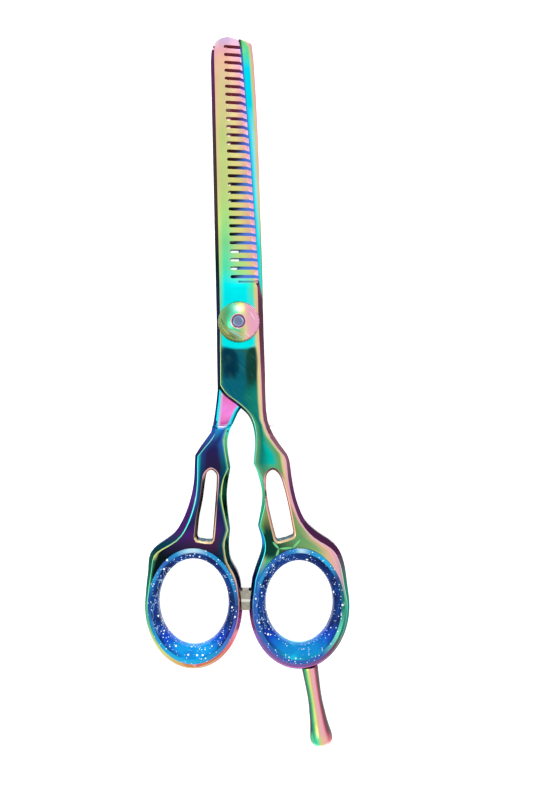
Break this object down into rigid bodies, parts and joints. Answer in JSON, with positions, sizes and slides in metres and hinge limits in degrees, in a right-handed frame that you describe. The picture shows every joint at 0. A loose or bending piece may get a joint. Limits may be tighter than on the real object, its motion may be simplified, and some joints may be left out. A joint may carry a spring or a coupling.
{
  "type": "thinning shears",
  "caption": "Hairdresser's thinning shears: a comb blade and a plain blade on an adjustable pivot, with lined finger rings, a bumper and a finger rest.",
  "frame": {"origin": "on the pivot axis, at the back of the pivot bolt's flat head, which is the lowest plane of the shears as they lie", "axes": "+Y towards the blade tips, +Z towards the dial side, +X towards the finger ring, with the shears closed"},
  "size_m": [0.0533, 0.1858, 0.009],
  "materials": {
    "comb_steel": "polished stainless steel with a rainbow vapour-deposited coating, cyan and teal with yellow and pink edges",
    "plain_steel": "polished stainless steel with a rainbow vapour-deposited coating, cyan blade, pink lap, indigo and violet handle",
    "dial_steel": "polished, rainbow coated, finely knurled rim",
    "rest_steel": "polished, rainbow coated",
    "pivot_steel": "turned, blue-grey",
    "spring_steel": "plain spring steel",
    "bush_brass": "turned brass",
    "glide_plastic": "white low-friction plastic",
    "bumper_rubber": "translucent grey-beige silicone",
    "insert_rubber": "glossy translucent blue with fine white glitter"
  },
  "bodies": {
    "comb": {"comb_half": "comb_steel", "pivot_bushing": "bush_brass", "glide_washer": "glide_plastic", "finger_ring_insert": "insert_rubber", "finger_rest": "rest_steel"},
    "plain": {"plain_half": "plain_steel", "pivot_bolt": "pivot_steel", "spring_washer": "spring_steel", "click_washer": "spring_steel", "bumper": "bumper_rubber", "thumb_ring_insert": "insert_rubber"},
    "dial": {"tension_dial": "dial_steel"}
  },
  "joints": [
    {"name": "blade_pivot", "type": "hinge", "parent": "comb", "child": "plain", "pos_m": [0, 0, 0.00335], "axis": [0, 0, -1], "range_deg": [0, 60]},
    {"name": "dial_turn", "type": "hinge", "parent": "plain", "child": "dial", "pos_m": [0, 0, 0.0075], "axis": [0, 0, 1], "range_deg": [-180, 180]}
  ]
}
